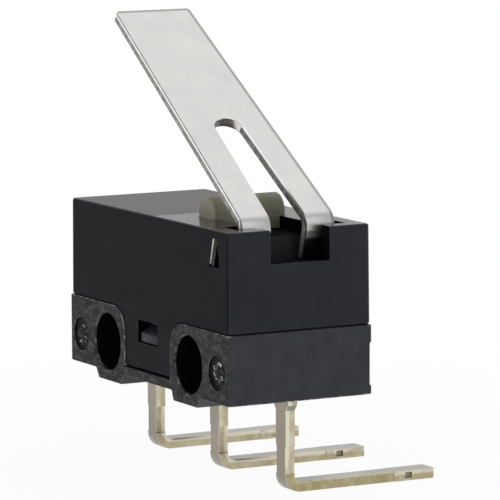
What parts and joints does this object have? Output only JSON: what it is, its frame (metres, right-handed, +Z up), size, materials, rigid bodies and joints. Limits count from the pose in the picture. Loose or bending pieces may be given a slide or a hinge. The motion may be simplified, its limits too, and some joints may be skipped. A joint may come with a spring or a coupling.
{
  "type": "lever micro switch",
  "caption": "Very small snap-action switch: black moulded body with two cross bores, a slotted hinge lever over a bar plunger, and solder terminals bent to one side.",
  "frame": {"origin": "midway between the axes of the two mounting bores, on the middle plane of the body's width", "axes": "+X along the body towards the lever's hinge end, +Y across the body along the bores towards the side the terminals bend to, +Z up out of the plunger"},
  "size_m": [0.0128, 0.0091, 0.0168],
  "materials": {
    "base_moulding": "black moulded thermoset, slightly rough",
    "cover_moulding": "black moulded plastic, satin",
    "plunger_moulding": "khaki grey moulded plastic, satin",
    "lever_strip": "satin stainless spring strip",
    "tinned_terminal": "tin plated brass strip",
    "spring_strip": "rolled copper alloy spring strip",
    "contact_silver": "silver alloy contact button"
  },
  "bodies": {
    "housing": {"base": "base_moulding", "cover": "cover_moulding", "common_terminal": "tinned_terminal", "normally_open_terminal": "tinned_terminal", "normally_closed_terminal": "tinned_terminal", "normally_open_contact": "contact_silver", "normally_closed_contact": "contact_silver"},
    "hinge_lever": {"lever": "lever_strip"},
    "actuator": {"plunger": "plunger_moulding"},
    "contact_blade": {"snap_spring": "spring_strip", "moving_contact": "contact_silver"}
  },
  "joints": [
    {"name": "plunger_slide", "type": "slide", "parent": "housing", "child": "actuator", "axis": [0, 0, -1], "range_m": [0, 0.00055], "stiffness_N_per_m": 100, "springref_m": -0.002},
    {"name": "lever_hinge", "type": "hinge", "parent": "housing", "child": "hinge_lever", "pos_m": [0.00522, 0, 0.00464], "axis": [0, -1, 0], "range_deg": [0, 27.2]},
    {"name": "blade_pivot", "type": "hinge", "parent": "housing", "child": "contact_blade", "pos_m": [0.00395, 0, 0.00295], "axis": [0, -1, 0], "range_deg": [0, 3.07]}
  ],
  "couplings": [
    {"joint": "lever_hinge", "follows": "plunger_slide", "rad_per_m": 863.1},
    {"joint": "blade_pivot", "follows": "plunger_slide", "rad_per_m": 97.3}
  ]
}
